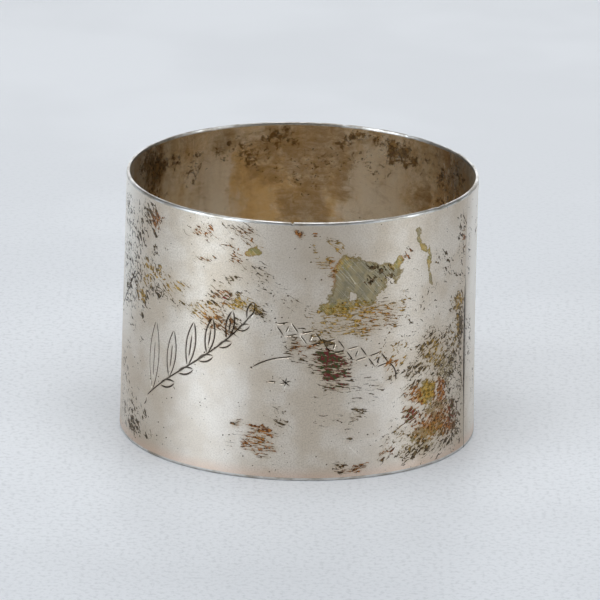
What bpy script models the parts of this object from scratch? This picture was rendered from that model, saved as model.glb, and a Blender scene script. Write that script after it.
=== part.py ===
"""Napkin ring: one strip of silver sheet bent round into an open band.

The strip's two ends meet in a butt joint that runs from the base to the upper rim,
and a thin strip of hard solder fills that joint. Metres, +Z along the ring's axis,
origin on the axis at the level of the base edge, the engraved side towards -Y.
"""
import math

import bmesh
import bpy

# Driving dimensions, in metres and degrees.
TOP_DIAMETER = 0.046        # outside, at the upper rim
BASE_DIAMETER = 0.0467      # outside, at the base: the band flares a little
HEIGHT = 0.0345             # from the base edge to the upper rim
SHEET_THICKNESS = 0.0004    # of the silver sheet
EDGE_CHAMFER = 0.0001       # filed off each corner of the sheet's cut edges
JOINT_BEARING = -21.0       # direction of the butt joint, from +X towards +Y
JOINT_WIDTH = 0.0009        # between the strip's two ends, round the outside
FIT_GAP = 0.0003            # clear space between the solder and each end
SOLDER_RECESS = 0.00004     # how far the solder lies below the sheet's faces and edges
BAND_FACETS = 144           # flats round the band
SOLDER_FACETS = 2           # flats across the solder

# Worked out from the driving dimensions.
TOP_RADIUS = TOP_DIAMETER / 2
BASE_RADIUS = BASE_DIAMETER / 2
JOINT_ANGLE = math.degrees(JOINT_WIDTH / TOP_RADIUS)
SOLDER_ANGLE = math.degrees((JOINT_WIDTH - 2 * FIT_GAP) / TOP_RADIUS)

SMOOTH_LIMIT = math.radians(30)


def clear_scene():
    """Remove whatever objects the file holds."""
    for old in list(bpy.data.objects):
        bpy.data.objects.remove(old, do_unlink=True)


def metal(name, color, roughness):
    """A plain metallic material."""
    material = bpy.data.materials.new(name)
    material.use_nodes = True
    shader = material.node_tree.nodes["Principled BSDF"]
    shader.inputs["Base Color"].default_value = (*color, 1.0)
    shader.inputs["Metallic"].default_value = 1.0
    shader.inputs["Roughness"].default_value = roughness
    return material


def outer_radius(height):
    """Outside radius of the band at a height: a straight taper from base to rim."""
    return BASE_RADIUS + (TOP_RADIUS - BASE_RADIUS) * height / HEIGHT


def wall_section(inset, chamfer):
    """Outline (radius, height) of the sheet's cross-section, inset from its faces and edges."""
    low = inset
    high = HEIGHT - inset
    outside = -inset
    inside = inset - SHEET_THICKNESS
    corners = [
        (inside + chamfer, low),
        (outside - chamfer, low),
        (outside, low + chamfer),
        (outside, high - chamfer),
        (outside - chamfer, high),
        (inside + chamfer, high),
        (inside, high - chamfer),
        (inside, low + chamfer),
    ]
    return [(outer_radius(height) + offset, height) for offset, height in corners]


def spun_piece(name, section, start, sweep, facets, material):
    """Spin a cross-section about +Z from one bearing through an angle, and cap both ends."""
    shape = bmesh.new()
    bearing = math.radians(start)
    first = []
    for radius, height in section:
        first.append(shape.verts.new((radius * math.cos(bearing), radius * math.sin(bearing), height)))
    outline = []
    for here, after in zip(first, first[1:] + first[:1]):
        outline.append(shape.edges.new((here, after)))
    spun = bmesh.ops.spin(
        shape,
        geom=first + outline,
        cent=(0, 0, 0),
        axis=(0, 0, 1),
        angle=math.radians(sweep),
        steps=facets,
        use_duplicate=False,
    )
    last = [item for item in spun["geom_last"] if isinstance(item, bmesh.types.BMEdge)]
    bmesh.ops.contextual_create(shape, geom=outline)
    bmesh.ops.contextual_create(shape, geom=last)
    bmesh.ops.recalc_face_normals(shape, faces=shape.faces)

    mesh = bpy.data.meshes.new(name)
    shape.to_mesh(mesh)
    shape.free()
    mesh.shade_smooth()
    mesh.set_sharp_from_angle(angle=SMOOTH_LIMIT)
    mesh.materials.append(material)
    piece = bpy.data.objects.new(name, mesh)
    bpy.context.scene.collection.objects.link(piece)
    return piece


def make_band():
    """The silver strip: all of the ring except its joint."""
    silver = metal("aged_silver", (0.62, 0.57, 0.50), 0.3)
    start = JOINT_BEARING + JOINT_ANGLE / 2
    sweep = 360 - JOINT_ANGLE
    return spun_piece("band", wall_section(0, EDGE_CHAMFER), start, sweep, BAND_FACETS, silver)


def make_seam_solder():
    """The hard solder that stands between the strip's two ends, from base to rim."""
    solder = metal("dark_solder", (0.16, 0.13, 0.10), 0.5)
    start = JOINT_BEARING - SOLDER_ANGLE / 2
    section = wall_section(SOLDER_RECESS, EDGE_CHAMFER)
    return spun_piece("seam_solder", section, start, SOLDER_ANGLE, SOLDER_FACETS, solder)


clear_scene()
make_band()
make_seam_solder()
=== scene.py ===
"""Looks for the napkin ring: an aged, tarnished, hand-engraved silver band with one soldered joint.

The band is drawn flat first, as the strip of sheet that it is made from. A place on the strip is
(along, up) in millimetres: along is the arc length from the front of the ring (-Y) towards +X,
up is the height above the base edge. The strip is then bent round the axis.
"""

import math

import bpy
import numpy as np
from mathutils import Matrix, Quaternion, Vector, noise
from mathutils.geometry import delaunay_2d_cdt


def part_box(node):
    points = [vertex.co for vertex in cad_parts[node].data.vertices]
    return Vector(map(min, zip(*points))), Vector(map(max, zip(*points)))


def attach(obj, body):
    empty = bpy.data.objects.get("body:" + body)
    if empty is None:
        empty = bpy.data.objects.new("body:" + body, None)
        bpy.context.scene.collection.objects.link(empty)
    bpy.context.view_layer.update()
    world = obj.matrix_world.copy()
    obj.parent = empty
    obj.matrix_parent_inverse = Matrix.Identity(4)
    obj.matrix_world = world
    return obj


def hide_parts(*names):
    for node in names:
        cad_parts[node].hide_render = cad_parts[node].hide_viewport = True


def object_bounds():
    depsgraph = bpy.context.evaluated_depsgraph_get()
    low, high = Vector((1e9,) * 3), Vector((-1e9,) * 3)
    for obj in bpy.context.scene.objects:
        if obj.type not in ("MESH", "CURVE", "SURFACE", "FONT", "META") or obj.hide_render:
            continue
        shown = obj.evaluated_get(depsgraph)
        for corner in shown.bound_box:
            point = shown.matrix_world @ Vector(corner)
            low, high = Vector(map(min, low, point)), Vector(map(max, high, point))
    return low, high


MM = 0.001

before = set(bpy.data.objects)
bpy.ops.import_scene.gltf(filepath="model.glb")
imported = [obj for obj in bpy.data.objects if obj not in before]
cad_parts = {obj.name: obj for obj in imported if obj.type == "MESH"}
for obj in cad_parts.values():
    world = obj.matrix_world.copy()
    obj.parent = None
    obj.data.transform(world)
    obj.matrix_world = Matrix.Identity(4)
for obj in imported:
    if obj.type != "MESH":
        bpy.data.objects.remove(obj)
cad_low, cad_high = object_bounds()


def put(name, data):
    """A new object in the scene, made of a mesh, a light or a camera."""
    made = bpy.data.objects.new(name, data)
    bpy.context.scene.collection.objects.link(made)
    return made


# ---------------------------------------------------------------- sizes, read from the frame

def wall_radii(low, high):
    """Smallest and largest radius, in mm, of the CAD band's corners between two heights."""
    radii = []
    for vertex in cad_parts["band"].data.vertices:
        if low <= vertex.co.z / MM <= high:
            radii.append(math.hypot(vertex.co.x, vertex.co.y) / MM)
    return min(radii), max(radii)


HEIGHT = cad_high.z / MM
RIM_INSIDE, RIM_OUTSIDE = wall_radii(HEIGHT - 0.2, HEIGHT)
_, BASE_OUTSIDE = wall_radii(0, 0.2)
SHEET = RIM_OUTSIDE - RIM_INSIDE
MEAN_RADIUS = (RIM_OUTSIDE + BASE_OUTSIDE) / 2

solder_low, solder_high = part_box("seam_solder")
solder_middle = (solder_low + solder_high) / 2
JOINT_TURN = math.pi / 2 + math.atan2(solder_middle.y, solder_middle.x)
STRIP_END = JOINT_TURN * MEAN_RADIUS
STRIP_LENGTH = 2 * math.pi * MEAN_RADIUS
STRIP_START = STRIP_END - STRIP_LENGTH


def smooth(value, low, high):
    """0 below low, 1 above high, an S-curve between them."""
    t = np.clip((value - low) / (high - low), 0, 1)
    return t * t * (3 - 2 * t)


def bump(value, middle, reach):
    """1 at middle, falling smoothly to 0 at middle plus or minus reach."""
    return 1 - smooth(np.abs(value - middle), 0, reach)


# ---------------------------------------------------------------- the shape of the bent strip

EDGE = 0.40              # mm, how far the filed rounding of the rims reaches down the wall
NICK_REACH = 0.9         # mm, how far a nick in the rim reaches down the wall
JOINT_ROUND = 0.10       # mm, rounding of the sheet's corners along the open part of the joint
JOINT_SPREAD = 2.5       # mm, how far from the joint the sheet is drawn back by its width
HAIRLINE = 0.016         # mm, half the joint's width where it is closed
JOINT_OPENS = (3.0, 12.0)     # mm above the base, where the joint widens
JOINT_NARROWS = (18.5, 23.5)  # where it narrows again
JOINT_CLOSES = (21.0, 24.5)   # where it closes to a hairline
OUTER_CORNER = 0.16      # mm, rounding of the rims' outer and inner corners
INNER_CORNER = 0.07
INNER_DROP = 0.10        # mm, how far a rim falls from its crest to the inner corner
CROWN = 0.015            # mm, how far a rim's middle stands above its outer corner
RIM_NICKS = (            # along, half width, depth
    (-1.1, 0.28, 0.2), (20.6, 0.75, 0.1), (22, 0.3, 0.07), (-9.5, 0.35, 0.04), (-78.3, 0.6, 0.08),
    (-88, 0.5, 0.1), (-60, 0.45, 0.06), (-105, 0.4, 0.05),
)
DENT_COUNT = 26
dent_random = np.random.default_rng(11)
DENTS = [                # along, up, reach, depth
    (
        dent_random.uniform(STRIP_START, STRIP_END),
        dent_random.uniform(1, HEIGHT - 1),
        dent_random.uniform(2.5, 7.0),
        dent_random.uniform(-0.02, 0.035),
    )
    for _ in range(DENT_COUNT)
]


def out_of_round(turn, up):
    """Radial change, in mm, of a ring that has been squeezed a little in use."""
    share = up / HEIGHT
    oval = (0.135 + 0.07 * share) * np.cos(2 * (turn - np.radians(148 + 6 * share)))
    lobes = (0.18 - 0.11 * share) * np.cos(3 * (turn - np.radians(62 + 14 * share)))
    lean = 0.12 * (1 - share) * np.sin(turn)
    waist = -0.6 * share * (1 - share) * np.maximum(np.sin(turn), 0)
    return oval + lobes + lean + waist


def joint_gap(up):
    """Half the width, in mm, of the joint at a height: open low down, closed near the rim."""
    opening = smooth(up, *JOINT_OPENS) * (1 - smooth(up, *JOINT_NARROWS))
    return HAIRLINE + 0.05 * (1 - smooth(up, *JOINT_CLOSES)) + 0.25 * opening


def outer_radius(turn, up):
    """Radius, in mm, of the outer face before its dents."""
    return BASE_OUTSIDE + (RIM_OUTSIDE - BASE_OUTSIDE) * up / HEIGHT + out_of_round(turn, up)


def on_ring(radius, turn, height):
    """The position at a radius and height, a turn round from the front."""
    return np.stack([radius * np.sin(turn), -radius * np.cos(turn), height], -1)


def wall_point(along, up, inward):
    """Position, in mm, of a place on the strip; inward is the depth below the outer face."""
    turn = along / MEAN_RADIUS
    radius = outer_radius(turn, up) - inward
    height = up.copy()
    for dent_along, dent_up, reach, depth in DENTS:
        away = np.hypot(along - dent_along, up - dent_up)
        radius = radius - depth * bump(away, 0, reach)
    for nick_along, half, depth in RIM_NICKS:
        height = height - depth * bump(along, nick_along, half) * smooth(up, HEIGHT - NICK_REACH, HEIGHT)
    to_end = np.minimum(along - STRIP_START, STRIP_END - along)
    side = np.where(along - STRIP_START < STRIP_END - along, 1.0, -1.0)
    openness = smooth(joint_gap(up), 0.05, 0.12)
    near = 1 - np.clip(to_end / JOINT_ROUND, 0, 1)
    rounding = JOINT_ROUND * (1 - np.sqrt(np.maximum(1 - near * near, 0)))
    radius = radius - np.where(inward < SHEET / 2, 0.8, -0.4) * openness * rounding
    shift = side * joint_gap(up) * (1 - smooth(to_end, 0, JOINT_SPREAD))
    return on_ring(radius, turn + shift / MEAN_RADIUS, height)


def wall_normal(along, up, inward, outward):
    """Direction square to the wall, by small steps along and up the strip."""
    step = 0.01
    east = wall_point(along + step, up, inward) - wall_point(along - step, up, inward)
    north = wall_point(along, up + step, inward) - wall_point(along, up - step, inward)
    square = np.cross(east, north) * outward
    return square / np.linalg.norm(square, axis=-1, keepdims=True)


# ---------------------------------------------------------------- the engraving

CUT_WIDTH = 0.30         # mm, of the ornament's cuts
BOLD_WIDTH = 0.46        # mm, of those on the ring's left side
BOLD_BEFORE = -26        # mm along the strip, where the bold cuts end
CUT_DEEP = 0.12          # mm
SCRATCH_WIDTH = 0.07     # mm
SCRATCH_DEEP = 0.012     # mm


def straight(start, end, steps=None):
    """Points on a straight cut."""
    start = np.array(start, float)
    end = np.array(end, float)
    steps = steps or max(4, int(np.hypot(*(end - start)) / 0.4))
    t = np.linspace(0, 1, steps + 1)[:, None]
    return start + (end - start) * t


def bowed(start, end, bow):
    """Points on a cut that bows sideways by a distance, to the left of its direction."""
    points = straight(start, end, max(6, int(math.dist(start, end) / 0.25)))
    direction = points[-1] - points[0]
    left = np.array([-direction[1], direction[0]]) / np.hypot(*direction)
    t = np.linspace(0, 1, len(points))[:, None]
    return points + left * bow * 4 * t * (1 - t)


def leaf(base, tip, width, rib):
    """A slender pointed leaf: two bowed sides and, if asked for, its rib."""
    cuts = [bowed(base, tip, width / 2), bowed(base, tip, -width / 2)]
    if rib:
        cuts.append(straight(base + (tip - base) * 0.18, base + (tip - base) * 0.72))
    return cuts


def star(middle, size, spokes):
    """Short cuts crossing at one point."""
    cuts = []
    for spoke in range(spokes):
        angle = math.radians(20 + 180 * spoke / spokes)
        arm = np.array([math.cos(angle), math.sin(angle)]) * size / 2
        cuts.append(straight(np.array(middle) - arm, np.array(middle) + arm))
    return cuts


def curve_point(corners, t):
    """A place on the smooth curve that the corners steer, t from 0 to 1."""
    points = [np.array(corner, float) for corner in corners]
    while len(points) > 1:
        points = [here + (after - here) * t for here, after in zip(points, points[1:])]
    return points[0]


def sprig(corners, upper, lower):
    """A curved stem with upright leaves above it and short drooping leaves below it.

    Each leaf is its place on the stem (0 to 1), its lean from upright in degrees, its length
    and its width.
    """
    cuts = [np.array([curve_point(corners, t) for t in np.linspace(0, 1, 40)])]
    for place, lean, length, width in upper + lower:
        base = curve_point(corners, place)
        angle = math.radians(lean)
        tip = base + np.array([math.sin(angle), math.cos(angle)]) * length
        cuts += leaf(base, tip, width, rib=length > 3)
    return cuts


def lattice(start, end, count, width):
    """A chain of crossed lozenges, tip to tip."""
    cuts = []
    ends = straight(start, end, count)
    for here, after in zip(ends, ends[1:]):
        along_chain = after - here
        across = np.array([-along_chain[1], along_chain[0]]) / np.hypot(*along_chain) * width / 2
        middle = (here + after) / 2
        corners = [here, middle + across, after, middle - across]
        cuts += [straight(a, b) for a, b in zip(corners, corners[1:] + corners[:1])]
        cuts.append(straight(middle + across * 0.55, middle - across * 0.55))
    return cuts


def engraving():
    """Every cut of the ornament: (points, width, depth) in mm.

    A leafy sprig climbs to the right. A chain of crossed lozenges steps down beyond it, with
    a bowed flourish and a small star below. A second sprig runs round to the back.
    """
    cuts = sprig(
        [(-22.6, 7.6), (-17.5, 12.5), (-10.0, 16.0), (-5.6, 22.6)],
        ((0.08, 3, 9.6, 1.9), (0.27, 6, 6.6, 1.5), (0.44, 8, 6.2, 1.4), (0.60, 8, 5.0, 1.3),
         (0.76, 10, 4.0, 1.1), (0.93, 18, 2.6, 0.9)),
        ((0.17, 72, 3.0, 1.0), (0.35, 70, 2.8, 0.9), (0.52, 68, 2.6, 0.9), (0.68, 66, 2.3, 0.8),
         (0.84, 62, 2.0, 0.8)),
    )
    cuts += sprig(
        [(-41.0, 10.0), (-36.5, 15.5), (-31.0, 17.0), (-26.8, 23.4)],
        ((0.15, 2, 6.0, 1.4), (0.35, 3, 6.6, 1.5), (0.55, 3, 5.4, 1.4), (0.76, 4, 7.6, 1.6)),
        ((0.25, 70, 2.8, 0.9), (0.45, 68, 2.6, 0.9), (0.65, 66, 2.4, 0.9), (0.93, 50, 1.8, 0.7)),
    )
    cuts.append(bowed((-22.6, 7.6), (-23.3, 6.2), 0.25))
    cuts += lattice((-2.9, 20.9), (12.3, 15.2), 5, 2.1)
    cuts.append(bowed((12.3, 15.2), (13.4, 12.6), 0.5))
    cuts.append(bowed((-5.9, 14.9), (-0.8, 16.6), 0.45))
    cuts += star((-5.9, 14.9), 0.5, 2)
    cuts += star((-1.45, 13.2), 1.9, 3)
    cuts.append(straight((-3.9, 13.2), (-2.5, 13.3)))
    widths = [BOLD_WIDTH if points[0][0] < BOLD_BEFORE else CUT_WIDTH for points in cuts]
    return [(points, width, CUT_DEEP) for points, width in zip(cuts, widths)]


def scratches():
    """Long shallow scratches: (points, width, depth) in mm."""
    lines = (
        ((6.6, 4.8), (6.4, 2.2)), ((6.8, 4.7), (8.8, 2.7)), ((-4.6, 20.6), (-1.0, 22.2)),
        ((9.2, 29.0), (12.8, 25.4)), ((4.9, 29.9), (7.9, 25.3)), ((-70.0, 24.0), (-63.5, 20.5)),
        ((-96.0, 11.0), (-91.0, 15.0)), ((-50.0, 8.0), (-46.0, 13.0)),
    )
    return [(straight(start, end), SCRATCH_WIDTH, SCRATCH_DEEP) for start, end in lines]


CUTS = engraving()
SCRATCHES = scratches()


def half_widths(points, width):
    """Half the width of a cut at each of its points, tapering to nothing at both ends."""
    lengths = np.hypot(*np.diff(points, axis=0).T)
    travelled = np.concatenate([[0], np.cumsum(lengths)])
    to_end = np.minimum(travelled, travelled[-1] - travelled)
    reach = min(0.7, travelled[-1] / 3)
    return width / 2 * np.sqrt(np.clip(to_end / reach, 0, 1))


def cut_segments(cuts):
    """All straight stretches of the cuts, one row each: ends, half widths at the ends, depth."""
    rows = []
    for points, width, depth in cuts:
        halves = half_widths(points, width)
        for here in range(len(points) - 1):
            rows.append((*points[here], *points[here + 1], halves[here], halves[here + 1], depth, width))
    return np.array(rows)


def cut_depth(places, segments, clearance=None):
    """How deep the cuts are at each place, in mm; or, with a clearance, whether a cut is that near."""
    deepest = np.zeros(len(places))
    for x0, y0, x1, y1, half0, half1, depth, width in segments:
        direction = np.array([x1 - x0, y1 - y0])
        reach = max(half0, half1) + (clearance or 0)
        near = (places[:, 0] > min(x0, x1) - reach) & (places[:, 0] < max(x0, x1) + reach)
        near &= (places[:, 1] > min(y0, y1) - reach) & (places[:, 1] < max(y0, y1) + reach)
        if not near.any():
            continue
        offset = places[near] - (x0, y0)
        t = np.clip(offset @ direction / (direction @ direction), 0, 1)
        away = np.hypot(*(offset - t[:, None] * direction).T)
        half = half0 + (half1 - half0) * t
        if clearance is None:
            share = np.clip(1 - away / np.maximum(half, 1e-6), 0, 1)
            value = depth * share * half / (width / 2)
        else:
            value = (away < half + clearance).astype(float)
        deepest[near] = np.maximum(deepest[near], value)
    return deepest


# ---------------------------------------------------------------- where the tarnish lies

# Each blotch: along, up, half its length, half its height, tilt in degrees, strength.
SPECKS = (      # ragged dark specks on both sides of the ring
    (-22.2, 31.8, 2.8, 1.9, -10, 0.98), (-21.3, 29.9, 1.3, 0.9, 0, 0.69),
    (-21.5, 27.6, 1.4, 0.8, -10, 0.86), (-20, 28.6, 1.4, 0.5, -10, 0.52),
    (-23.8, 26.5, 1, 0.5, -30, 0.75), (-21, 24.8, 1.6, 1.3, 0, 0.92), (-24.3, 22.9, 3.2, 1.8, -20, 0.8),
    (-23.8, 20.6, 1.8, 1.2, -40, 1.03), (-21.9, 22.2, 1.7, 1.5, 0, 0.8), (-26.5, 22, 2.4, 1.1, 0, 0.86),
    (-27, 19.4, 1.8, 1.2, 0, 0.69), (-27.2, 16.2, 1.8, 1.6, 0, 0.52), (-24.2, 17.9, 0.6, 0.6, 0, 0.92),
    (-24.2, 14.6, 1, 0.5, 15, 0.75), (-28.5, 29.5, 3.4, 3, 10, 0.63), (-31, 24, 2.4, 4, 0, 0.57),
    (-26.3, 2.5, 2.4, 1.1, 0, 1.09), (-27.5, 4.4, 3.2, 1.7, 0, 0.57), (-22.8, 4.7, 1, 0.7, 0, 0.86),
    (-23.7, 6.1, 0.5, 0.5, 0, 0.86), (-21.5, 2.5, 1, 1.1, 0, 0.57), (-30, 8.5, 2.6, 4, 0, 0.48),
    (-28.5, 12.6, 1.4, 1.4, 0, 0.48), (21, 28, 1.6, 1, 0, 0.63), (22.8, 26.4, 1.6, 1.3, 0, 0.63),
    (24, 25, 1.6, 1, 0, 0.52), (26.6, 29, 1.9, 3.6, 0, 0.71), (26, 24, 1.8, 1.6, 0, 0.57),
    (25.6, 20.7, 2.4, 1.3, 0, 1.03), (26.4, 17.4, 1.7, 3.4, 0, 1.4), (25.6, 15, 1.6, 2, 0, 0.86),
    (23.5, 17.1, 1.6, 0.7, 10, 0.75), (24.8, 13.1, 1.2, 0.9, 0, 0.75), (23.2, 10.6, 2, 2.6, 0, 0.69),
    (24.6, 8, 1.5, 2.2, 0, 0.57), (26.1, 1.5, 0.7, 0.9, 0, 0.98), (14.5, 29.3, 1, 0.9, 0, 0.8),
    (18, 20, 5, 7, 0, 0.3), (-115.9, 14.5, 1.3, 4.5, 0, 0.7), (-116.4, 26.5, 0.9, 4, 0, 0.5),
    (-113.5, 8, 1.6, 3, 0, 0.45), (-111.5, 28, 2.5, 3.5, 0, 0.4), (-27.5, 24.5, 3.6, 5, 0, 0.63),
    (-25.4, 27.8, 2.4, 2.6, -30, 0.7), (-24.8, 30.6, 2.6, 2.4, -30, 0.62),
    (-22.6, 24.6, 2.4, 2.4, -40, 0.8), (-20.2, 22, 2, 1.2, -30, 0.72), (-25.2, 20.8, 2, 2.6, 0, 0.85),
    (-29, 20.5, 2.4, 3.4, 0, 0.72), (-25.8, 4.4, 3.2, 3.2, 0, 0.55), (-29, 3.5, 2.6, 2.6, 0, 0.6),
    (-31, 30, 2.6, 3.6, 0, 0.69), (24.6, 5.5, 2.2, 4.5, 0, 0.86), (24, 14.5, 2.8, 5, 0, 0.69),
    (26.6, 12, 1.3, 6, 0, 0.72), (26.2, 4, 1.3, 3.4, 0, 0.6), (9.7, 28.3, 1.4, 0.6, -20, 1.3),
    (11.1, 27.2, 0.9, 0.6, 0, 1.35), (9.5, 26.7, 0.7, 0.6, 0, 1.2), (12.8, 26.9, 0.7, 1.1, 0, 1.15),
    (11.4, 25.9, 1.2, 0.6, -20, 0.85),
)
SLANTING = (    # streaks falling to the right, upper left
    (-7.6, 33, 2.8, 0.9, -15, 0.7), (-6.8, 32, 2.2, 0.7, -25, 0.6), (-12.2, 31.9, 2, 1, -20, 0.68),
    (-13.6, 31.9, 0.9, 0.7, 0, 0.85), (-16, 31.7, 2.4, 1.1, 0, 0.45), (-8.6, 30.2, 1.7, 1, -25, 0.65),
    (-8.2, 29.2, 2.2, 0.9, -25, 0.58), (-12.8, 28.3, 1.6, 0.7, 0, 0.8), (-9, 26.7, 1.2, 0.6, 0, 0.8),
    (-6.2, 28, 3.6, 1.5, -28, 0.55), (-9.9, 25.4, 1.6, 0.5, 0, 0.65), (-9.7, 23.9, 2.8, 1.7, 0, 0.8),
    (-11, 22.4, 2.6, 1.1, 0, 0.72), (-7.7, 23.2, 2.8, 1.1, -10, 0.95), (-5.3, 22.9, 1.4, 0.8, 0, 1),
    (-13.8, 21.6, 2.4, 1.3, 0, 0.75), (-11, 20.5, 3.2, 1.7, 0, 0.85), (-8.6, 20.3, 1.7, 1.6, 0, 0.8),
    (-16.5, 23.9, 2.6, 0.7, 0, 0.62), (-18.8, 23.6, 2.2, 2.4, 0, 0.6), (-16.8, 22.1, 2.4, 1.1, 0, 0.58),
    (-1, 24.2, 2, 0.7, -10, 0.5), (-3.6, 25.5, 3, 1.6, -20, 0.34), (-2, 7.8, 1.6, 0.7, -30, 0.75),
    (-2.2, 9.7, 1.2, 0.9, -20, 0.5), (4.8, 31.3, 2.5, 0.8, -38, 0.72), (-4.3, 22, 1.6, 0.6, -20, 0.5),
)
LEVEL = (       # streaks lying along the strip: under the olive film, and the dark cluster
    (7.2, 22.5, 6.8, 1.7, 0, 0.9), (8.2, 20.6, 6.4, 1.7, 0, 0.8), (4, 20.2, 3.6, 1.4, 0, 0.68),
    (12.2, 21.6, 2.6, 2.6, 0, 0.72), (14, 22.6, 1.5, 2.4, 0, 0.48), (3.4, 18.5, 2.3, 0.9, 0, 1),
    (1.5, 18.3, 1.3, 0.6, 0, 0.9), (-0.4, 18, 1.8, 1.7, 0, 0.78), (4.5, 16.2, 2.8, 1.4, -8, 1.25),
    (4.3, 14.7, 2.8, 1.3, -10, 1.15), (6.3, 14.6, 1.2, 0.6, -10, 0.95), (5, 12.8, 2.6, 1, -5, 0.88),
    (3.6, 11.6, 1.4, 0.6, 0, 0.5), (0.5, 16.6, 1.9, 1.1, 0, 0.66), (2, 15.3, 1.6, 1.3, 0, 0.46),
    (8.5, 12.8, 3.2, 1.4, 0, 0.4), (8.6, 10.8, 2.6, 1.3, 0, 0.42), (8.1, 8.9, 1.5, 0.45, 0, 1),
    (7.9, 8.2, 1.3, 0.35, 0, 0.85), (7.3, 5.7, 1, 0.35, 0, 0.7), (4, 9, 4.5, 3, 0, 0.27),
    (11, 12.3, 1.6, 1, 0, 0.64), (6, 2.2, 0.8, 0.4, 0, 0.95), (6.1, 1.2, 1.2, 0.45, 0, 1.05),
    (8, 1.6, 1.8, 0.6, 0, 1), (-7.6, 7.1, 1.2, 0.8, -20, 0.9), (-4.2, 6.4, 2.4, 0.8, -10, 1.05),
    (-4.8, 5.2, 2.2, 1, 0, 0.9), (-6.4, 4.6, 0.9, 0.4, 15, 1), (-5.2, 3.8, 1.4, 0.6, -25, 0.95),
    (-3.4, 4.3, 1.1, 0.7, 30, 0.9), (-3.5, 2.8, 0.6, 0.6, 0, 0.85), (-8.3, 5, 0.9, 1.9, 0, 0.4),
    (-0.1, 33, 0.9, 0.6, 0, 1.05), (1.7, 32.7, 0.6, 0.5, 0, 0.85), (2, 31.3, 0.5, 1.2, 0, 0.6),
    (3.9, 31.9, 0.8, 0.7, -30, 0.7), (3.3, 29.2, 1.6, 0.9, 0, 0.8), (4.5, 27.9, 0.9, 1, 30, 0.75),
)
RISING = (      # streaks rising to the right, lower right
    (12.8, 17, 3.8, 1.4, 25, 0.47), (14.2, 15, 3.2, 1.3, 25, 0.54), (12.8, 15, 1.1, 0.7, 30, 1.03),
    (12.9, 13.2, 1.2, 1.1, 0, 0.74), (16.8, 13.4, 3.2, 1.5, 15, 0.81), (19.4, 15.6, 2.6, 2.6, 0, 0.87),
    (19, 17.8, 1.8, 1, 0, 0.56), (21, 13.4, 2.8, 1.8, 0, 0.87), (16.4, 10.6, 1.9, 2, 0, 0.9),
    (18.4, 9.8, 2.8, 1.7, 0, 1.06), (15.8, 8, 0.9, 1.1, 0, 1.06), (21.4, 9.6, 1.2, 1.5, 0, 1.18),
    (17.6, 6.6, 2.6, 1.2, 0, 0.81), (20.6, 5.4, 3.8, 1.8, 0, 1.03), (22.6, 4.6, 3.2, 2.1, 0, 1.03),
    (24.2, 6.8, 1.3, 1.9, -30, 1.03), (24.6, 3.8, 1.3, 0.9, 0, 1.12), (17.8, 4.3, 3.4, 1.7, 0, 0.85),
    (14.6, 5.4, 2, 1.8, 0, 0.63), (12.2, 3.6, 1.4, 0.6, 10, 1.06), (12, 5, 0.9, 0.9, 0, 0.67),
    (11.8, 2.2, 1.6, 0.6, 0, 0.69), (17.2, 2.4, 5.8, 1.1, 0, 0.78), (22.6, 2, 2.6, 0.7, 0, 0.78),
    (20.5, 7, 6.5, 6.5, 0, 0.62), (21.5, 14, 4.5, 4.5, 0, 0.69), (18.6, 10, 2.2, 1.8, 0, 1.18),
)
FILM = (        # the smooth grey-olive film and smaller patches of it
    (6.4, 27.6, 1.8, 2.6, 0, 1.4), (6.2, 25.2, 2.3, 2.6, -25, 1.4), (8.8, 25.6, 2.6, 2.4, 0, 1.3),
    (8.8, 28, 3.4, 1.3, -22, 1.3), (12.4, 27, 1.9, 1.2, 10, 1.1), (4.2, 23.4, 1.9, 1.2, 25, 1.1),
    (-6.2, 30.6, 0.95, 0.55, 10, 1.15), (16.9, 31, 0.4, 1.3, 10, 1.1), (17.7, 29.5, 0.9, 0.55, -50, 1.05),
    (18.7, 28, 0.35, 1.7, 4, 1.15), (18.7, 25.3, 0.32, 1.1, -6, 1.1), (18.2, 9.9, 2, 1.5, 0, 0.85),
    (13.6, 28.6, 0.5, 1.2, 0, 1.1), (19.5, 5, 3.6, 1.8, 0, 0.62), (20.8, 7.2, 3.4, 2.6, 0, 0.5),
    (22.4, 12, 2.4, 3.4, 0, 0.46), (17.6, 3.6, 4, 1.6, 0, 0.42),
)
BARE = (        # small places where the film has worn through
    (6.8, 24.4, 0.42, 0.5, 0, 1.6), (10.9, 24.6, 0.45, 0.3, 30, 1.4), (3.4, 24.6, 0.5, 0.25, -30, 1.2),
)
RUSTY = (       # where the tarnish has turned rust-red and orange
    (-20.3, 32.8, 1.3, 1, 0, 1.2), (-12.3, 31.9, 2.4, 1.1, 0, 0.9), (-21.2, 31.6, 2.2, 1.6, 0, 0.7),
    (-8, 30, 3, 2.2, -20, 0.7), (-6.8, 32.2, 3, 1.4, -20, 0.6), (-12.8, 28.3, 2, 0.9, 0, 0.6),
    (-10, 24, 1.6, 1.6, 0, 0.8), (-11, 20.6, 3.6, 2, 0, 0.6), (-5, 5.4, 3.8, 3, 0, 1),
    (-0.1, 33, 3, 1, 0, 1.1), (1.2, 18, 2.2, 1.4, 0, 0.9), (4.4, 28.4, 1.6, 3.2, 0, 0.7),
    (9.8, 26.8, 2.2, 2.2, 0, 0.3), (11, 21, 4, 2.8, 0, 0.6), (14.6, 29.3, 1.2, 1, 0, 0.9),
    (16.4, 8.6, 1.6, 3.2, 0, 1.3), (21.4, 9.6, 1.6, 1.8, 0, 1.2), (21, 5.6, 6, 3.4, 0, 0.62),
    (23.6, 5.4, 1.8, 2.4, 0, 1), (18.6, 6.4, 1.8, 1.2, 0, 0.9), (12.2, 3.4, 1.8, 1.4, 0, 0.8),
    (8, 1.6, 2.6, 1.2, 0, 0.7), (27.6, 28.5, 1.6, 2, 0, 0.7), (12.8, 15, 1.3, 0.9, 0, 0.9),
)
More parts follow.
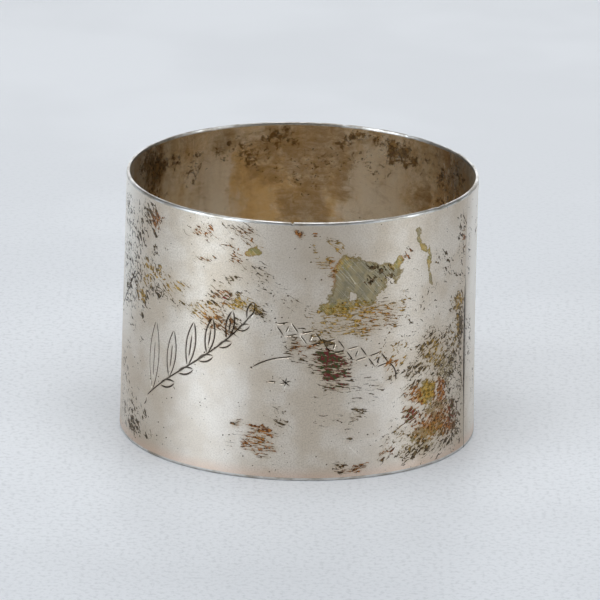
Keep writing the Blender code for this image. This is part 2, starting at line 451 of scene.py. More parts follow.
GOLDEN = (      # where it has turned ochre and olive
    (-23, 24.2, 2.2, 2.2, 0, 1), (-24.6, 21, 1.6, 1.6, 0, 0.8), (-20, 24.4, 1.8, 1.6, 0, 0.9),
    (-17, 23.6, 3.2, 1.6, 0, 0.8), (-13, 21.4, 3.4, 1.8, 0, 0.8), (-7.6, 23.2, 3, 1.3, 0, 0.9),
    (-6.2, 30.7, 1.8, 1.2, 0, 1.2), (-4.6, 5.4, 2, 1, 0, 0.8), (4, 30, 3.6, 3.4, 0, 0.9),
    (7, 21.6, 7.5, 3.4, 0, 0.9), (13.6, 22.6, 2.6, 3.4, 0, 0.8), (13.6, 28.2, 1.6, 1.8, 0, 0.9),
    (17.8, 28.4, 2.2, 4.4, 0, 0.95), (18.4, 9.8, 3, 1.9, 0, 1.2), (13.5, 16, 4, 2.4, 0, 0.8),
    (15, 4.4, 3.4, 2.4, 0, 0.6), (20, 4.6, 3.4, 2.2, 0, 0.7), (20, 14.6, 3, 2.4, 0, 0.7),
    (24.6, 17, 2.4, 4, 0, 0.55), (25.6, 20.6, 2.4, 1.4, 0, 0.7), (3.2, 23.2, 1.8, 2, 0, 0.9),
)
WINE = (        # where it has turned wine-red and bottle-green
    (4.5, 16, 2.8, 1.6, 0, 1.3), (4.2, 14.4, 3, 1.6, 0, 1.1), (5, 12.8, 2.4, 1, 0, 0.7),
    (-9.5, 23.8, 1.2, 1, 0, 0.9), (24.2, 6, 1.2, 2, 0, 0.9), (15.8, 7.6, 1, 0.9, 0, 0.8),
    (6.6, 1.6, 1.4, 0.8, 0, 0.5),
)


def back_blotches(seed, count, strength):
    """Blotches for the part of the strip behind the ring, in long slanting drifts."""
    drifts = np.random.default_rng(5)
    centres = [(drifts.uniform(STRIP_START + 12, -38), drifts.uniform(4, HEIGHT - 4)) for _ in range(9)]
    random = np.random.default_rng(seed)
    blotches = []
    for _ in range(count):
        middle, level = centres[random.integers(len(centres))]
        spread = random.normal(0, 3.2)
        blotches.append((
            min(max(middle + spread, STRIP_START + 7), -35.5),
            min(max(level - 0.6 * spread + random.normal(0, 1.6), 0.8), HEIGHT - 0.8),
            random.uniform(0.8, 3.0),
            random.uniform(0.4, 1.6),
            random.uniform(-35, 25),
            strength * random.uniform(0.5, 1.2),
        ))
    return tuple(blotches)


def blotch_field(along, up, blotches):
    """The strongest blotch at each place: its strength in the middle, 0 at its rim."""
    field = np.zeros(len(along))
    for middle, level, length, height, tilt, strength in blotches:
        reach = 1.5 * max(length, height)
        near = (np.abs(along - middle) < reach) & (np.abs(up - level) < reach)
        if not near.any():
            continue
        angle = math.radians(tilt)
        right = (along[near] - middle) * math.cos(angle) + (up[near] - level) * math.sin(angle)
        above = (up[near] - level) * math.cos(angle) - (along[near] - middle) * math.sin(angle)
        away = np.hypot(right / length, above / height)
        field[near] = np.maximum(field[near], strength * (1 - smooth(away, 0.30, 1.45)))
    return field


def ragged(along, up, *grains):
    """Places shifted by smooth noise, so that the blotches' edges wander.

    Each grain of noise is its size, its seed, and how far it shifts places along and up.
    """
    shifted = np.array([along, up])
    for size, seed, *reach in grains:
        for axis in range(2):
            level = seed + 7 * axis
            values = [noise.noise(Vector((x / size, y / size, level))) for x, y in zip(along, up)]
            shifted[axis] += reach[axis] * np.array(values)
    return shifted


def tarnish_layers(along, up):
    """For places on the outer face: streak densities, and colour weights, four values each."""
    x, y = ragged(along, up, (2.6, 3.1, 0.9, 0.9), (0.7, 9.4, 0.35, 0.35))
    streaks = np.stack([
        blotch_field(x, y, SPECKS + back_blotches(21, 46, 0.85)),
        blotch_field(x, y, SLANTING + back_blotches(22, 34, 0.85)),
        blotch_field(x, y, LEVEL + back_blotches(23, 30, 0.90)),
        blotch_field(x, y, RISING + back_blotches(24, 30, 0.90)),
    ], -1)
    bare = 1 - np.clip(blotch_field(x, y, BARE), 0, 1)
    tints = np.stack([
        blotch_field(x, y, RUSTY + back_blotches(25, 34, 1.0)),
        blotch_field(x, y, GOLDEN + back_blotches(26, 34, 1.0)),
        blotch_field(x, y, WINE + back_blotches(27, 9, 0.9)),
        blotch_field(x, y, FILM + back_blotches(28, 5, 1.0)) * bare,
    ], -1)
    return streaks, tints


BACK_WALL = -72.8        # mm along the strip, the middle of the ring's back
# Inside the ring, along is measured in the same way as outside.
INSIDE_SPECKS = (
    (-48.6, 31, 3.5, 2.2, 0, 1.05), (-46.1, 32.4, 4, 1.4, 0, 0.85), (-53.6, 31.4, 1.4, 1.6, 0, 0.75),
    (-57.1, 31.5, 1.2, 0.9, 0, 0.8), (-56.6, 28.6, 1.8, 1.6, 0, 0.6), (-61.6, 31.2, 1.2, 0.9, 0, 0.75),
    (-69.1, 32.6, 2.6, 1.2, 0, 0.95), (-65.6, 29.5, 2.2, 2.2, 0, 0.7), (-75.6, 29, 4.5, 3, 0, 0.4),
    (-79.1, 32, 1.4, 1.2, 0, 0.85), (-81.6, 33.2, 3, 0.8, 0, 0.9), (-85.6, 32.6, 3.6, 1.2, 0, 1),
    (-87, 31, 2.6, 1.2, -20, 0.9), (-89.2, 31.2, 2, 1.2, 25, 0.9), (-95, 30.6, 2, 0.7, 0, 0.95),
    (-95.6, 29, 3, 1.6, 0, 0.55), (-82.6, 29.5, 3, 2.4, 0, 0.4), (-99.1, 31, 2.4, 2.4, 0, 0.55),
    (-66, 31.5, 7, 2.4, 0, 0.4), (-89, 31.5, 7, 2.4, 0, 0.45), (-96, 26.5, 3.4, 5, 0, 0.45),
    (-48.5, 27, 3, 4.5, 0, 0.5), (-72, 27.5, 5, 3, 0, 0.3),
)
INSIDE_GOLD = (
    (-65, 24.5, 5, 7.5, 0, 1.05), (-69, 23.5, 3.6, 8, 0, 0.8), (-77.5, 23.5, 3.6, 6, 0, 0.5),
    (-57, 30, 2.4, 1.6, 0, 0.6), (-46, 26, 5, 4, 0, 0.6), (-94, 24, 5, 5, 0, 0.6),
    (-102, 29, 4, 5, 0, 0.7),
)
INSIDE_GREY = (
    (-58.6, 24.5, 4.2, 8, 0, 1.2), (-56, 20.5, 5, 4.5, 0, 1.3), (-63.5, 22, 2.4, 5, 0, 0.6),
    (-52, 26, 3, 7, 0, 0.6), (-83, 24.5, 4.6, 8, 0, 1.3), (-88.5, 30.5, 3, 2.5, 0, 0.8),
    (-78, 31.5, 4, 2.4, 0, 0.7), (-98, 30, 2, 3, 0, 0.6),
)
INSIDE_DIM = (
    (-73.4, 24, 4.6, 9, 0, 0.85), (-72.5, 31.5, 9, 3.6, 0, 0.9), (-68, 27.5, 3.4, 3, 0, 0.7),
    (-77.5, 27, 3, 4, 0, 0.7), (-91, 26, 2.2, 6, 0, 0.7), (-48.5, 30, 3, 4, 0, 0.8),
    (-63, 32.5, 4, 1.6, 0, 0.6), (-84, 32.4, 6, 1.2, 0, 0.6),
)
REFLECTION_EDGE = -62.9        # mm along the strip; a painted reflection's upright edge ends the golden patch here


NAMED_ALONG = (-104, -44)     # mm along the strip, the stretch whose stains are listed above
NAMED_ABOVE = 18              # mm above the base, where that stretch begins


def inside_blotches(seed, count, strength):
    """Random blotches for the rest of the inner wall."""
    random = np.random.default_rng(seed)
    blotches = []
    for _ in range(count):
        blotch = (
            random.uniform(STRIP_START + 1, STRIP_END - 1),
            random.uniform(0, HEIGHT),
            random.uniform(1.0, 4.0),
            random.uniform(0.8, 3.0),
            random.uniform(-20, 20),
            strength * random.uniform(0.4, 1.0),
        )
        if blotch[1] < NAMED_ABOVE or not NAMED_ALONG[0] < blotch[0] < NAMED_ALONG[1]:
            blotches.append(blotch)
    return tuple(blotches)


def inside_layers(along, up):
    """For places on the inner face: speck density, and colour weights.

    Both come as four values, since the layers hold four; the rest of them are 0.
    """
    x, y = ragged(along, up, (3.0, 41.0, 2.2, 1.6), (0.9, 47.0, 1.2, 1.2))
    none = np.zeros(len(along))
    specks = blotch_field(x, y, INSIDE_SPECKS + inside_blotches(31, 60, 0.8))
    gold = blotch_field(x, y, INSIDE_GOLD + inside_blotches(32, 30, 0.5))
    # painted reflection: the golden patch stops at a sharp upright edge
    gold *= np.where((along > REFLECTION_EDGE) & (along < REFLECTION_EDGE + 12), 0.1, 1.0)
    grey = blotch_field(x, y, INSIDE_GREY + inside_blotches(33, 16, 0.7))
    dim = blotch_field(x, y, INSIDE_DIM + inside_blotches(34, 16, 0.7))
    return np.stack([specks, none, none, none], -1), np.stack([gold, grey, dim, none], -1)


# ---------------------------------------------------------------- the band's mesh

FINE = 0.33              # mm between mesh points on the engraved front
COARSE = 0.6             # mm between them behind
FRONT_START = -34.0      # mm along the strip; the fine mesh runs from here to the joint
INSIDE_STEP = 0.6        # mm between rows on the inner face
LEAST_STEP = 0.018       # mm, the least between two columns
CUT_CLEAR = 0.09         # mm kept free of mesh points beside a cut
TOUCH = 1e-4             # mm, places closer than this are the same
SHEETS_IN_MAP = 3        # the strip is laid in the texture as this many lengths
SHEET_LENGTH = STRIP_LENGTH / SHEETS_IN_MAP
SHEET_CUTS = [STRIP_START + SHEET_LENGTH * cut for cut in range(1, SHEETS_IN_MAP)]
MAP_GAP = 0.8            # mm between the lengths in the texture
OUTER, INNER, RIM, END = range(4)     # kinds of face; an end is the strip's, in the joint


def columns():
    """Places along the strip where the mesh has a column from base to rim."""
    behind = np.linspace(STRIP_START, FRONT_START, int((FRONT_START - STRIP_START) / COARSE) + 1)
    front = np.linspace(FRONT_START, STRIP_END, int((STRIP_END - FRONT_START) / FINE) + 1)
    places = [*behind, *front]
    for offset in (0.02, 0.045, 0.075, 0.11, 0.16, 0.25, 0.4):
        places += [STRIP_START + offset, STRIP_END - offset]
    for along, half, _ in RIM_NICKS:
        places += [along + half * step for step in (-1, -0.6, -0.35, -0.15, 0, 0.15, 0.35, 0.6, 1)]
    places = np.sort(places + SHEET_CUTS)
    kept = [places[0]]
    for place in places[1:]:
        if place - kept[-1] > LEAST_STEP:
            kept.append(place)
    kept[-1] = STRIP_END
    return np.array(kept)


def wall_rows(step):
    """Heights of rows on a wall, closer together near both rims."""
    low, high = EDGE, HEIGHT - EDGE
    middle = np.linspace(low + 1.0, high - 1.0, int((high - low - 2.0) / step) + 1)
    near = np.array([0, 0.12, 0.3, 0.6])
    return np.concatenate([low + near, middle, (high - near)[::-1]])


def outer_net(column_places, segments):
    """The outer face as flat triangles: places (along, up) and triangles."""
    rows = wall_rows(FINE)
    coarse_rows = wall_rows(COARSE)
    cuts = [column_places[np.argmin(np.abs(column_places - cut))] for cut in SHEET_CUTS]
    border = []
    for x in column_places:
        border += [(x, rows[0]), (x, rows[-1])]
    for y in rows[1:-1]:
        border += [(column_places[0], y), (column_places[-1], y)]
    inner = []
    for x in column_places[1:-1]:
        levels = rows if FRONT_START <= x or x in cuts else coarse_rows
        inner += [(x, y) for y in levels[1:-1]]
    inner = np.array(inner)
    clear = (cut_depth(inner, segments, CUT_CLEAR) == 0) | np.isin(inner[:, 0], cuts)
    places = border + [tuple(p) for p in inner[clear]]
    edges = []
    for cut in cuts:
        on_line = sorted((y, i) for i, (x, y) in enumerate(places) if x == cut)
        edges += [(a[1], b[1]) for a, b in zip(on_line, on_line[1:])]
    for points, width, _ in CUTS + SCRATCHES:
        add_cut_lines(places, edges, points, half_widths(points, width))
    result = delaunay_2d_cdt([Vector(p) for p in places], edges, [], 0, 1e-6)
    flat = np.array([(p.x, p.y) for p in result[0]])
    return flat, [tuple(face) for face in result[2]]


def add_cut_lines(places, edges, points, halves):
    """Adds a cut's two edges and its bottom line to the net."""
    directions = np.gradient(points, axis=0)
    directions /= np.hypot(*directions.T)[:, None]
    left = np.stack([-directions[:, 1], directions[:, 0]], -1)
    lines = [points + left * halves[:, None], points, points - left * halves[:, None]]
    first = len(places)
    places.append(tuple(points[0]))
    last = first + 1
    places.append(tuple(points[-1]))
    for line in lines:
        start = len(places)
        places.extend(tuple(p) for p in line[1:-1])
        chain = [first, *range(start, len(places)), last]
        edges.extend(zip(chain, chain[1:]))


def rim_profile(top):
    """The filed edge of the sheet as (inward, up) pairs, from the outer face to the inner."""
    crest = EDGE - CROWN
    profile = []
    for degrees in (15, 30, 45, 60, 75, 90):
        angle = math.radians(degrees)
        profile.append((OUTER_CORNER * (1 - math.cos(angle)), crest * math.sin(angle)))
    profile.append((SHEET * 0.55, EDGE))
    for degrees in (90, 60, 30):
        angle = math.radians(degrees)
        drop = INNER_DROP * (1 - math.sin(angle))
        profile.append((SHEET - INNER_CORNER * (1 - math.cos(angle)), crest - drop))
    profile.append((SHEET, 0))
    if top:
        return [(inward, HEIGHT - EDGE + rise) for inward, rise in profile]
    return [(inward, EDGE - rise) for inward, rise in profile]


def make_band(materials):
    """The silver strip bent into a ring, with its engraving, rims, joint ends and layers.

    The three materials are the outer face's, the inner face's, and that of the rims and ends.
    """
    column_places = columns()
    last = len(column_places) - 1
    segments = cut_segments(CUTS + SCRATCHES)
    flat, triangles = outer_net(column_places, segments)
    depth = cut_depth(flat, segments)
    faces = [tri if turn_sign(flat, tri) > 0 else tri[::-1] for tri in triangles]
    kinds = [OUTER] * len(faces)

    top_row = [None] * len(column_places)
    base_row = [None] * len(column_places)
    side_rows = {0: [], last: []}
    for index, (x, y) in enumerate(flat):
        for level, row in ((HEIGHT - EDGE, top_row), (EDGE, base_row)):
            if abs(y - level) < TOUCH:
                row[np.argmin(np.abs(column_places - x))] = index
        for k in side_rows:
            if abs(x - column_places[k]) < TOUCH:
                side_rows[k].append((y, index))

    # round each column, from the outer face over the rim, down the inside and under the base
    loop = rim_profile(top=True)
    rim_steps = len(loop)
    loop += [(SHEET, y) for y in wall_rows(INSIDE_STEP)[::-1][1:-1]]
    inside_end = len(loop)
    loop += rim_profile(top=False)[::-1]
    first = len(flat)
    span = len(loop)
    loop_inward, loop_up = np.tile(loop, (len(column_places), 1)).T
    along = np.concatenate([flat[:, 0], np.repeat(column_places, span)])
    up = np.concatenate([flat[:, 1], loop_up])
    inward = np.concatenate([depth, loop_inward])
    groove = np.concatenate([depth, np.zeros(len(loop_up))])

    def column(k):
        return list(range(first + k * span, first + (k + 1) * span))

    for k in range(last):
        here = [top_row[k], *column(k), base_row[k]]
        after = [top_row[k + 1], *column(k + 1), base_row[k + 1]]
        for j in range(span + 1):
            faces.append((here[j], after[j], after[j + 1], here[j + 1]))
            kinds.append(INNER if rim_steps <= j <= inside_end else RIM)
    for k, side in side_rows.items():
        ring = [index for _, index in sorted(side)] + column(k)
        faces.append(tuple(ring if k == last else ring[::-1]))
        kinds.append(END)

    mesh = bpy.data.meshes.new("silver_band")
    mesh.from_pydata((wall_point(along, up, inward) * MM).tolist(), [], faces)
    mesh.update()
    for material in materials:
        mesh.materials.append(material)
    mesh.polygons.foreach_set("material_index", [min(kind, RIM) for kind in kinds])
    add_layers(mesh, along, up, inward, groove)
    add_maps(mesh, along, up, inward, kinds)
    shade(mesh, along, up, inward, kinds, groove)
    mesh.validate()
    return put("silver_band", mesh)


def turn_sign(flat, triangle):
    """Above 0 where the triangle runs anticlockwise."""
    a, b, c = (flat[i] for i in triangle)
    return (b[0] - a[0]) * (c[1] - a[1]) - (b[1] - a[1]) * (c[0] - a[0])


def add_layers(mesh, along, up, inward, groove):
    """Per-point layers for the materials: streaks and tints of tarnish, and the grooves."""
    outside = inward < SHEET / 2
    streaks = np.zeros((len(along), 4))
    tints = np.zeros((len(along), 4))
    streaks[outside], tints[outside] = tarnish_layers(along[outside], up[outside])
    streaks[~outside], tints[~outside] = inside_layers(along[~outside], up[~outside])
    for name, values in (("streaks", streaks), ("tints", tints)):
        layer = mesh.attributes.new(name, "FLOAT_COLOR", "POINT")
        layer.data.foreach_set("color", values.astype(np.float32).ravel())
    layer = mesh.attributes.new("groove", "FLOAT", "POINT")
    layer.data.foreach_set("value", groove.astype(np.float32))


def add_maps(mesh, along, up, inward, kinds):
    """The map that the materials use, in mm on the strip, and a page for baked textures.

    On the page the strip lies in lengths: the outer face's are stacked on the left, the inner
    face's on the right. The rims carry on from the faces that they edge, and the joint's two
    ends stand in the far corner.
    """
    corners = np.zeros(len(mesh.loops), int)
    mesh.loops.foreach_get("vertex_index", corners)
    strip = mesh.uv_layers.new(name="strip")
    strip.data.foreach_set("uv", np.stack([along[corners], up[corners]], -1).astype(np.float32).ravel())
    page = mesh.uv_layers.new(name="OFBake")
    length, gap = SHEET_LENGTH, MAP_GAP
    tall = HEIGHT + 2 * SHEET + gap
    size = max(2 * length + 3 * gap + 2, SHEETS_IN_MAP * tall + 2 * gap)
    uv = np.zeros((len(corners), 2))
    for face, kind in zip(mesh.polygons, kinds):
        loops = list(face.loop_indices)
        points = corners[loops]
        x, y, deep = along[points], up[points], inward[points]
        if kind == END:
            column = 2 * length + 2.5 * gap + (1.0 if x[0] > 0 else 0)
            uv[loops] = np.stack([column + deep, gap + y], -1)
            continue
        sheet = min(int((x.mean() - STRIP_START) / length), SHEETS_IN_MAP - 1)
        column = gap + (length + gap if kind == INNER else 0)
        if kind == RIM:
            y = np.where(y > HEIGHT / 2, y + deep, y - deep)
        row = gap + sheet * tall + SHEET
        uv[loops] = np.stack([column + x - STRIP_START - sheet * length, row + y], -1)
    page.data.foreach_set("uv", (uv / size).astype(np.float32).ravel())


def normals_of(items):
    """The normals of a mesh's faces or vertices, a row each."""
    values = np.zeros(len(items) * 3)
    items.foreach_get("normal", values)
    return values.reshape(-1, 3)


def shade(mesh, along, up, inward, kinds, groove):
    """Smooth walls, crisp cuts: a corner takes the wall's own direction, or its face's."""
    on_outside = inward < SHEET / 2
    facing = np.where(on_outside, 1.0, -1.0)[:, None]
    smooth_normals = wall_normal(along, up, np.where(on_outside, 0.0, inward), facing)
    rim = (up < EDGE + 1e-6) | (up > HEIGHT - EDGE - 1e-6)
    mesh.shade_smooth()
    face_normals = normals_of(mesh.polygons)
    in_rim_only = rim & (inward > 1e-6) & (np.abs(inward - SHEET) > 1e-6)
    smooth_normals[in_rim_only] = normals_of(mesh.vertices)[in_rim_only]
    corner_normals = np.zeros((len(mesh.loops), 3))
    for face, kind in zip(mesh.polygons, kinds):
        loops = list(face.loop_indices)
        points = list(face.vertices)
        if kind == END or (kind == OUTER and groove[points].max() > TOUCH):
            corner_normals[loops] = face_normals[face.index]
        else:
            corner_normals[loops] = smooth_normals[points]
    mesh.normals_split_custom_set(corner_normals.tolist())


# ---------------------------------------------------------------- the solder in the joint

SOLDER_CLEAR = 0.006     # mm between the solder and each side of the joint
SOLDER_SUNK = 0.16       # mm below the outer face where the joint is open
SOLDER_SINKS = (3.0, 11.0)    # mm above the base, where it drops to that depth
SOLDER_RISES = (20.0, 24.5)   # where it comes up again
SOLDER_FLUSH = 0.012     # mm below it near the rim
SOLDER_ENDS = (0.05, HEIGHT - 0.04)   # mm above the base, where it starts and stops
SOLDER_ROWS = 72
SOLDER_HOLLOW = 0.4      # how much deeper its middle lies, as a share of how far it is sunk
SOLDER_BEHIND = 0.02     # mm between its back and the inner face


def make_solder(material):
    """The strip of solder between the two ends: sunk where the joint is open, flush above."""
    rows = np.linspace(*SOLDER_ENDS, SOLDER_ROWS)
    across = np.array([-1.0, -0.5, 0.0, 0.5, 1.0])
    sink = SOLDER_SUNK * smooth(rows, *SOLDER_SINKS) * (1 - smooth(rows, *SOLDER_RISES)) + SOLDER_FLUSH
    places = []
    for y, down in zip(rows, sink):
        half = joint_gap(y) - SOLDER_CLEAR
        for side in across:
            hollow = SOLDER_HOLLOW * down * (1 - side * side)
            places.append(solder_point(side * half, y, down + hollow))
        for side in across[::-1]:
            places.append(solder_point(side * half, y, SHEET - SOLDER_BEHIND))
    per_row = 2 * len(across)
    faces = []
    for row in range(len(rows) - 1):
        for k in range(per_row):
            after = (k + 1) % per_row
            a = row * per_row
            b = a + per_row
            faces.append((a + k, a + after, b + after, b + k))
    faces.append(tuple(range(per_row))[::-1])
    faces.append(tuple(range(len(places) - per_row, len(places))))
    mesh = bpy.data.meshes.new("solder_line")
    mesh.from_pydata((np.array(places) * MM).tolist(), [], faces)
    mesh.materials.append(material)
    mesh.shade_smooth()
    mesh.set_sharp_from_angle(angle=math.radians(40))
    mesh.validate()
    return put("solder_line", mesh)


def solder_point(beside, up, inward):
    """A place in the joint: beside its middle line, at a height, below the outer face."""
    turn = (STRIP_END + beside) / MEAN_RADIUS
    return on_ring(outer_radius(turn, up) - inward, turn, up)


# ---------------------------------------------------------------- materials

class Nodes:
    """Short ways to add nodes to a material or to the world."""

    def __init__(self, owner):
        owner.use_nodes = True
        self.owner = owner
        self.tree = owner.node_tree
        self.shader = self.tree.nodes.get("Principled BSDF")

    def add(self, kind, inputs=(), **settings):
        node = self.tree.nodes.new(kind)
        for key, value in settings.items():
            setattr(node, key, value)
        for key, value in dict(inputs).items():
            self.feed(node.inputs[key], value)
        return node

    def feed(self, socket, value):
        if isinstance(value, bpy.types.NodeSocket):
            self.tree.links.new(value, socket)
        else:
            socket.default_value = value

    def math(self, operation, first, second=0.0, clamp=False):
        inputs = {0: first, 1: second}
        return self.add("ShaderNodeMath", inputs, operation=operation, use_clamp=clamp).outputs[0]

    def plus(self, first, second, clamp=False):
        return self.math("ADD", first, second, clamp)

    def minus(self, first, second, clamp=False):
        return self.math("SUBTRACT", first, second, clamp)

    def times(self, first, second, clamp=False):
        return self.math("MULTIPLY", first, second, clamp)

    def larger(self, first, second):
        return self.math("MAXIMUM", first, second)

    def step(self, value, low, high, out_low=0.0, out_high=1.0):
        """Smooth step of a value from low to high."""
        inputs = {"Value": value, "From Min": low, "From Max": high, "To Min": out_low, "To Max": out_high}
        node = self.add("ShaderNodeMapRange", inputs, interpolation_type="SMOOTHSTEP")
        return node.outputs["Result"]

    def around(self, value, middle, low, high, most):
        """Most where a value is within low of the middle, 0 where it is further than high."""
        return self.step(self.math("ABSOLUTE", self.minus(value, middle)), low, high, most, 0.0)

    def mix(self, share, first, second):
        """Mix two colours, given as (r, g, b) or sockets."""
        node = self.add("ShaderNodeMix", data_type="RGBA", clamp_factor=True)
        self.feed(node.inputs[0], share)
        for socket, color in ((6, first), (7, second)):
            is_socket = isinstance(color, bpy.types.NodeSocket)
            self.feed(node.inputs[socket], color if is_socket else (*color, 1))
        return node.outputs[2]

    def tones(self, value, low, high, first, second):
        """One colour passing into another as a value rises from low to high."""
        return self.mix(self.step(value, low, high), first, second)

    def tint(self, base, color, value, low, high, most=1.0):
        """A colour laid over the base, up to the share called most, as a value rises."""
        return self.mix(self.step(value, low, high, 0.0, most), base, color)

    def strip_place(self):
        return self.add("ShaderNodeUVMap", uv_map="strip").outputs[0]

    def parts(self, place):
        return self.add("ShaderNodeSeparateXYZ", {0: place}).outputs

    def mapped(self, place, scale, shift=0.0, turn=0.0):
        inputs = {"Vector": place, "Location": (shift, shift, 0), "Rotation": (0, 0, turn), "Scale": scale}
        return self.add("ShaderNodeMapping", inputs, vector_type="POINT").outputs[0]

    def turned(self, place, angle, length, width, shift=0.0):
        """A place in axes turned by an angle, in units of a grain's length and width."""
        rotated = self.mapped(place, (1, 1, 1), shift, -math.radians(angle))
        return self.mapped(rotated, (1 / length, 1 / width, 1))

    def noise(self, place, scale=1.0, detail=2.0, roughness=0.5, distortion=0.0, dimensions="2D"):
        inputs = {"Vector": place, "Scale": scale, "Detail": detail, "Roughness": roughness}
        inputs["Distortion"] = distortion
        return self.add("ShaderNodeTexNoise", inputs, noise_dimensions=dimensions).outputs["Fac"]

    def grain(self, place, angle, length, width, shift, detail, roughness, distortion=0.0):
        """Noise in grains of a length and width in mm, lying at an angle in degrees."""
        turned = self.turned(place, angle, length, width, shift)
        return self.noise(turned, 1.0, detail, roughness, distortion)

    def layer(self, name):
        """The four values of a colour layer."""
        node = self.add("ShaderNodeAttribute", attribute_name=name)
        color = self.add("ShaderNodeSeparateColor", {0: node.outputs["Color"]})
        return (*color.outputs[:3], node.outputs["Alpha"])

    def finish(self, color, roughness, metallic, height, bump_mm):
        """Sets the surface: its colour, roughness and metal, and a fine relief this many mm deep."""
        relief = self.add("ShaderNodeBump", {"Height": height, "Strength": 1.0, "Distance": bump_mm * MM})
        self.feed(self.shader.inputs["Base Color"], color)
        self.feed(self.shader.inputs["Roughness"], roughness)
        self.feed(self.shader.inputs["Normal"], relief.outputs[0])
        self.shader.inputs["Metallic"].default_value = metallic
        return self.owner


def new_material(name):
    return Nodes(bpy.data.materials.new(name))


def srgb(red, green, blue):
    """A colour given as it looks on screen, 0 to 255, in the linear values that shaders use."""
    values = []
    for level in (red, green, blue):
        level /= 255
        values.append(level / 12.92 if level <= 0.04045 else ((level + 0.055) / 1.055) ** 2.4)
    return tuple(values)


FLAKE_GRAINS = (         # angle, length, width and shift for specks, slanting, level, rising
    (-40, 0.82, 0.48, 3.0), (-27, 0.95, 0.30, 11.0), (-4, 1.10, 0.26, 23.0), (28, 0.85, 0.40, 37.0),
)


def flakes(n, place, density, angle, length, width, shift):
    """Ragged flakes of tarnish, longest along an angle; more of them where the density is high.

    Gives the flakes, and their cores away from the dark edges.
    """
    grain = n.grain(place, angle, length, width, shift, 3.0, 0.6, 0.7)
    above = n.minus(grain, n.minus(0.735, n.times(density, 0.29)))
    present = n.step(density, 0.02, 0.10)
    return n.times(n.step(above, -0.002, 0.014), present), n.step(above, 0.025, 0.075)


def pits(n, place, size, share, shift):
    """Tiny specks scattered over the metal in loose drifts: 1 in a speck."""
    inputs = {"Vector": n.turned(place, 20, size, size * 0.7, shift), "Scale": 1.0}
    cells = n.add("ShaderNodeTexVoronoi", inputs, voronoi_dimensions="2D")
    luck = n.add("ShaderNodeSeparateColor", {0: cells.outputs["Color"]}).outputs[0]
    drift = n.step(n.grain(place, 0, 5.0, 5.0, shift, 2.0, 0.6), 0.42, 0.68, 0.1, 1.0)
    lucky = n.math("GREATER_THAN", n.times(drift, share), luck)
    near = n.math("LESS_THAN", n.minus(cells.outputs["Distance"], n.times(luck, 0.35)), 0.05)
    return n.times(near, lucky)


def bare_silver(n, place, streaks, cloud, grain):
    """The metal between the flakes: duller and browner near tarnish, with painted highlights and shade."""
    specks, slanting, level, rising = streaks
    along, up, _ = n.parts(place)
    silver = n.tones(cloud, 0.35, 0.65, srgb(212, 199, 181), srgb(226, 217, 204))
    silver = n.tint(silver, srgb(172, 158, 142), grain, 0.35, 0.75, 0.55)
    # painted highlight: paler at the left side, and on the strip's other end just past the joint
    sheen_left = n.times(n.step(along, -31, -23, 1.0, 0.0), n.step(along, -50, -36))
    sheen_left = n.times(sheen_left, n.step(up, 8, 26))
    sheen_right = n.times(n.step(along, -114, -99, 1.0, 0.0), n.step(along, -118.5, -114.5, 0.2, 1.0))
    sheen_right = n.times(sheen_right, n.step(up, 12, 24, 0.45, 0.85))
    silver = n.mix(n.times(n.larger(sheen_left, sheen_right), 0.85), silver, srgb(250, 247, 240))
    # painted highlight: two pale upright bands low on the front
    highlight_bands = n.larger(n.around(along, -12, 3.5, 8.5, 0.24), n.around(along, 12, 2, 7, 0.18))
    silver = n.mix(n.times(highlight_bands, n.step(up, 10, 22, 1.0, 0.0)), silver, srgb(248, 244, 240))
    # painted shade: darker patches low on the left, and under the rim in the middle
    shade_low = n.times(n.around(along, -22, 1.5, 7, 0.42), n.step(up, 5, 15, 1.0, 0.0))
    shade_top = n.times(n.around(along, 2, 3, 9, 0.42), n.step(up, 24, 30))
    silver = n.mix(n.larger(shade_low, shade_top), silver, srgb(188, 174, 156))
    dense = n.larger(n.larger(n.times(specks, 0.5), slanting), n.larger(level, rising))
    silver = n.tint(silver, srgb(168, 145, 110), n.plus(dense, n.times(cloud, 0.3)), 0.3, 1.4, 0.55)
    # grimy beside the joint; a painted warm reflection along the base edge
    grime = n.times(n.step(along, 22.5, 27.6), n.step(up, 19, 24, 1.0, 0.0))
    silver = n.mix(n.times(grime, n.step(cloud, 0.3, 0.6, 0.15, 0.45)), silver, srgb(150, 130, 98))
    # painted reflection: the warm tint along the base edge
    return n.mix(n.step(up, 0.2, 2.2, 0.45, 0.0), silver, srgb(224, 190, 168))


def olive_film(n, place, silver, film, golden, rusty):
    """The smooth grey-olive film over the silver, with its flecks, scuffs and rusty brim."""
    ragged_edge = n.grain(place, 20, 0.8, 0.5, 0.0, 6.0, 0.8)
    depth = n.plus(film, n.times(ragged_edge, 1.5))
    tone = n.noise(place, 0.9, 4.0, 0.65)
    color = n.tones(tone, 0.35, 0.65, srgb(130, 122, 94), srgb(156, 142, 104))
    gold = n.tones(tone, 0.35, 0.65, srgb(128, 122, 62), srgb(184, 154, 76))
    fleck = n.grain(place, 35, 0.8, 0.35, 21.0, 3.0, 0.6)
    color = n.tint(color, gold, n.plus(golden, fleck), 1.05, 1.35)
    scuffs = n.grain(place, -48, 5.0, 0.10, 15.0, 2.0, 0.5)
    color = n.tint(color, srgb(200, 194, 178), scuffs, 0.58, 0.68, 0.6)
    worn = n.grain(place, -20, 0.7, 0.5, 27.0, 4.0, 0.75)
    cover = n.times(n.step(depth, 1.10, 1.36), n.step(worn, 0.62, 0.70, 1.0, 0.25))
    silver = n.mix(n.times(cover, 0.88), silver, color)
    brim = n.times(n.step(depth, 1.08, 1.22), n.step(depth, 1.30, 1.60, 1.0, 0.0))
    brim_color = n.tones(rusty, 0.3, 0.9, srgb(128, 106, 52), srgb(172, 104, 44))
    return n.mix(n.times(brim, 0.6), silver, brim_color)


